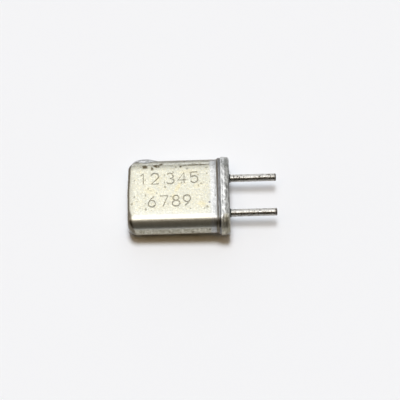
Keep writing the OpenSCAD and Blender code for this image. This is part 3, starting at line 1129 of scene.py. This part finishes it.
# ---------------------------------------------------------------- floor, light and camera
FLOOR_SIZE = 1200


def lay_floor():
    """A plain pale floor under the unit."""
    deselect()
    bpy.ops.mesh.primitive_plane_add(size=FLOOR_SIZE * MM)
    floor = added("floor")
    paper = bpy.data.materials.new("floor_paper")
    paper.use_nodes = True
    shader = paper.node_tree.nodes["Principled BSDF"]
    shader.inputs["Base Color"].default_value = (0.9, 0.905, 0.92, 1)
    shader.inputs["Roughness"].default_value = 0.9
    shader.inputs["Specular IOR Level"].default_value = 0.1
    floor.data.materials.append(paper)


KEY_COLOUR = (0.945, 0.995, 1.06)
KEY_WIDTH = math.radians(18)
KEY_STRENGTH, KEY_SIDE = 1.45, (-0.02, 0.31, 1.0)
HALO_STRENGTH, HALO_SIDE = 0.9, (-0.02, 0.36, 1.0)


def add_key(name, strength, side):
    """A distant soft lamp that lights the floor; metal mirrors the studio instead."""
    deselect()
    bpy.ops.object.light_add(type="SUN")
    lamp = bpy.context.object
    lamp.name = name
    lamp.data.energy = strength
    lamp.data.angle = KEY_WIDTH
    lamp.data.color = KEY_COLOUR
    lamp.rotation_euler = Vector(side).to_track_quat("Z", "Y").to_euler()
    lamp.visible_glossy = False
    return lamp


def light_keys():
    """Two lamps, side by side. Only the thick pieces shade the second, which keeps the thin
    pins' shadows faint."""
    add_key("key_lamp", KEY_STRENGTH, KEY_SIDE)
    halo = add_key("key_halo", HALO_STRENGTH, HALO_SIDE)
    shading = bpy.data.collections.new("shading_pieces")
    for piece in thick:
        shading.objects.link(piece)
    halo.light_linking.blocker_collection = shading


# The studio's level and tint at places along y, from its front to its back: what metal
# mirrors, and the weaker fill that reaches the floor.
BRIGHTEST = 3.8
MIRRORED = [
    (-1.0, 0.085, (1.0, 0.9, 0.75)),
    (-0.5, 0.1, (1.0, 0.85, 0.62)),
    (-0.25, 0.2, (1.0, 0.72, 0.44)),
    (-0.13, 0.8, (1.0, 0.8, 0.56)),
    (-0.045, 3.3, (1.0, 0.98, 0.94)),
    (0.1, 3.5, (1.0, 1.0, 1.0)),
    (0.21, 1.65, (1.0, 1.0, 1.0)),
    (0.5, 1.36, (1.0, 1.0, 1.0)),
    (0.84, 1.2, (0.98, 0.99, 1.0)),
    (0.92, 1.0, (0.98, 0.99, 1.0)),
    (1.0, 1.1, (0.98, 0.99, 1.0)),
]
FILL = [
    (-1.0, 0.02, (1.0, 0.8, 0.5)),
    (-0.4, 0.06, (1.0, 0.75, 0.45)),
    (-0.15, 0.92, (1.0, 0.66, 0.28)),
    (0.15, 1.02, (1.0, 0.76, 0.42)),
    (0.3, 0.55, (0.9, 0.95, 1.0)),
    (0.7, 0.6, (0.85, 0.95, 1.1)),
    (1.0, 0.7, (0.85, 0.95, 1.1)),
]
# Both weaken towards the sides: between two places along x, down to a level.
LEFT_FALL, LEFT_LEVEL = (-0.9, -0.2), 0.6
RIGHT_FALL, RIGHT_LEVEL = (-0.1, 0.45), 0.2
FILL_FALL, FILL_LEVEL = (0.2, 0.8), 0.15
BACKDROP = (0.9, 0.922, 0.945)


def sweep(studio, y, stops):
    """Light that changes from the front of the studio to its back, up to BRIGHTEST."""
    along = studio.put("ShaderNodeMapRange", {"Value": y, "From Min": -1, "From Max": 1})
    colour_ramp = studio.put("ShaderNodeValToRGB", {0: along.outputs[0]})
    marks = colour_ramp.color_ramp.elements
    while len(marks) < len(stops):
        marks.new(1.0)
    for mark, (at, level, tint) in zip(marks, stops):
        mark.position = (at + 1) / 2
        mark.color = (*(level / BRIGHTEST * c for c in tint), 1)
    return colour_ramp.outputs[0]


def make_studio():
    """A dark warm room in front, a broad softbox overhead and a white wall behind."""
    world = bpy.data.worlds.new("studio")
    bpy.context.scene.world = world
    world.use_nodes = True
    studio = Nodes(world.node_tree)
    x, y, _ = studio.parts(studio.put("ShaderNodeTexCoord").outputs["Generated"])
    ray = studio.put("ShaderNodeLightPath").outputs
    mirrored_sides = studio.times(
        studio.ease(x, *LEFT_FALL, LEFT_LEVEL, 1.0),
        studio.ease(x, *RIGHT_FALL, 1.0, RIGHT_LEVEL),
    )
    fill_sides = studio.ease(studio.sums("ABSOLUTE", x), *FILL_FALL, 1.0, FILL_LEVEL)
    diffuse = ray["Is Diffuse Ray"]
    sides = studio.mix(diffuse, mirrored_sides, fill_sides, "FLOAT")
    light = studio.mix(diffuse, sweep(studio, y, MIRRORED), sweep(studio, y, FILL))
    lit = studio.scaled(light, studio.times(sides, BRIGHTEST))
    shown = studio.mix(ray["Is Camera Ray"], lit, BACKDROP)
    studio.tree.links.new(shown, studio.tree.nodes["Background"].inputs["Color"])


AZIMUTH, ELEVATION, ROLL = (math.radians(a) for a in (-2.466, 70.762, 1.218))
DISTANCE = 227.2
SENSOR = 36.0
FOCAL_RATIO = 4.26175
# The point that the camera aims at: its height, and its shift to the left and downwards.
AIM_Z = 2.0
AIM_LEFT = 0.275
AIM_DOWN = 0.412


def set_camera():
    """A camera above the unit's front, turned a little about its own axis."""
    toward = Vector(
        (
            math.sin(AZIMUTH) * math.cos(ELEVATION),
            -math.cos(AZIMUTH) * math.cos(ELEVATION),
            math.sin(ELEVATION),
        )
    )
    level = Vector((math.cos(AZIMUTH), math.sin(AZIMUTH), 0))
    above = toward.cross(level)
    right = level * math.cos(ROLL) + above * math.sin(ROLL)
    up = above * math.cos(ROLL) - level * math.sin(ROLL)
    aim = Vector((0, 0, AIM_Z)) * MM - right * AIM_LEFT * MM - up * AIM_DOWN * MM
    deselect()
    bpy.ops.object.camera_add()
    camera = bpy.context.object
    camera.name = "camera"
    turned = Matrix((right, up, toward)).transposed().to_4x4()
    camera.matrix_world = Matrix.Translation(aim + toward * DISTANCE * MM) @ turned
    camera.data.lens = SENSOR * FOCAL_RATIO
    camera.data.sensor_width = SENSOR
    camera.data.clip_start = 0.01
    camera.data.dof.use_dof = False
    bpy.context.scene.camera = camera


lay_floor()
light_keys()
make_studio()
set_camera()
bpy.context.scene.view_settings.view_transform = "Standard"
